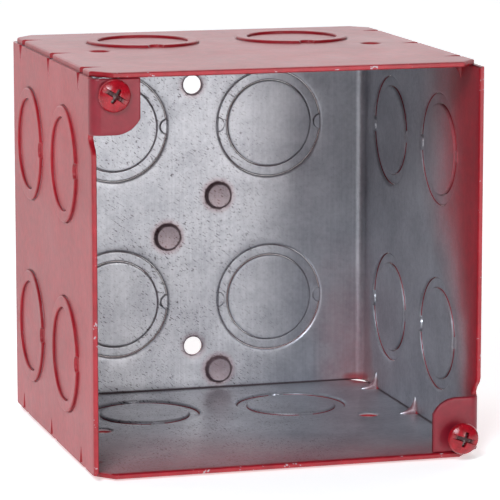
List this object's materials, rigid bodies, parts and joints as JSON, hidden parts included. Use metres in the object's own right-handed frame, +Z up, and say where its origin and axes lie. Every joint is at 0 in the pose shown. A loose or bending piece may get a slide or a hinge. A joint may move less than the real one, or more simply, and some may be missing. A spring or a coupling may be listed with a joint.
{
  "type": "fire alarm junction box",
  "caption": "Deep square welded steel back box, red outside and bare galvanised inside, open front, concentric knockouts on five faces, two corner cover screws.",
  "frame": {"origin": "centre of the two fixing holes on the outer back face", "axes": "+Z up, +Y out of the back towards the wall, so the open front faces -Y; +X to the right seen from the front"},
  "size_m": [0.1206, 0.1192, 0.1206],
  "materials": {
    "red_sheet": "satin red paint outside over galvanised sheet, bare galvanised inside",
    "knockout_sheet": "satin red paint outside over galvanised sheet, bare galvanised inside",
    "screw_paint": "semi-gloss red paint, pooled in the recess",
    "screw_thread": "zinc plated thread with red overspray"
  },
  "bodies": {
    "box": {"back_panel": "red_sheet", "left_rear_bend": "red_sheet", "right_rear_bend": "red_sheet", "left_side_wall": "red_sheet", "right_side_wall": "red_sheet", "upper_left_tab": "red_sheet", "lower_right_tab": "red_sheet", "top_plate": "red_sheet", "bottom_plate": "red_sheet", "knockout_ring_back_upper_left": "knockout_sheet", "knockout_ring_back_upper_right": "knockout_sheet", "knockout_ring_back_lower_left": "knockout_sheet", "knockout_ring_back_lower_right": "knockout_sheet", "knockout_ring_left_wall_upper_front": "knockout_sheet", "knockout_ring_left_wall_upper_rear": "knockout_sheet", "knockout_ring_left_wall_lower_front": "knockout_sheet", "knockout_ring_left_wall_lower_rear": "knockout_sheet", "knockout_ring_right_wall_upper_front": "knockout_sheet", "knockout_ring_right_wall_upper_rear": "knockout_sheet", "knockout_ring_right_wall_lower_front": "knockout_sheet", "knockout_ring_right_wall_lower_rear": "knockout_sheet", "knockout_ring_top_left": "knockout_sheet", "knockout_ring_top_right": "knockout_sheet", "knockout_ring_bottom_left": "knockout_sheet", "knockout_ring_bottom_right": "knockout_sheet", "knockout_disc_back_upper_left": "knockout_sheet", "knockout_disc_back_upper_right": "knockout_sheet", "knockout_disc_back_lower_left": "knockout_sheet", "knockout_disc_back_lower_right": "knockout_sheet", "knockout_disc_left_wall_upper_front": "knockout_sheet", "knockout_disc_left_wall_upper_rear": "knockout_sheet", "knockout_disc_left_wall_lower_front": "knockout_sheet", "knockout_disc_left_wall_lower_rear": "knockout_sheet", "knockout_disc_right_wall_upper_front": "knockout_sheet", "knockout_disc_right_wall_upper_rear": "knockout_sheet", "knockout_disc_right_wall_lower_front": "knockout_sheet", "knockout_disc_right_wall_lower_rear": "knockout_sheet", "knockout_disc_top_left": "knockout_sheet", "knockout_disc_top_right": "knockout_sheet", "knockout_disc_bottom_left": "knockout_sheet", "knockout_disc_bottom_right": "knockout_sheet"},
    "upper_shank": {"upper_screw_shank": "screw_thread"},
    "upper_head": {"upper_screw_head": "screw_paint"},
    "lower_shank": {"lower_screw_shank": "screw_thread"},
    "lower_head": {"lower_screw_head": "screw_paint"}
  },
  "joints": [
    {"name": "upper_screw_travel", "type": "slide", "parent": "box", "child": "upper_shank", "axis": [0, -1, 0], "range_m": [-0.00095, 0.0107]},
    {"name": "upper_screw_turn", "type": "hinge", "parent": "upper_shank", "child": "upper_head", "pos_m": [-0.05276, -0.1129, 0.05382], "axis": [0, -1, 0], "range_deg": [-435, 4857]},
    {"name": "lower_screw_travel", "type": "slide", "parent": "box", "child": "lower_shank", "axis": [0, -1, 0], "range_m": [-0.00395, 0.0077]},
    {"name": "lower_screw_turn", "type": "hinge", "parent": "lower_shank", "child": "lower_head", "pos_m": [0.05276, -0.1159, -0.05221], "axis": [0, -1, 0], "range_deg": [-1796, 3497]}
  ],
  "couplings": [
    {"joint": "upper_screw_turn", "follows": "upper_screw_travel", "rad_per_m": 7915.8},
    {"joint": "lower_screw_turn", "follows": "lower_screw_travel", "rad_per_m": 7915.8}
  ]
}
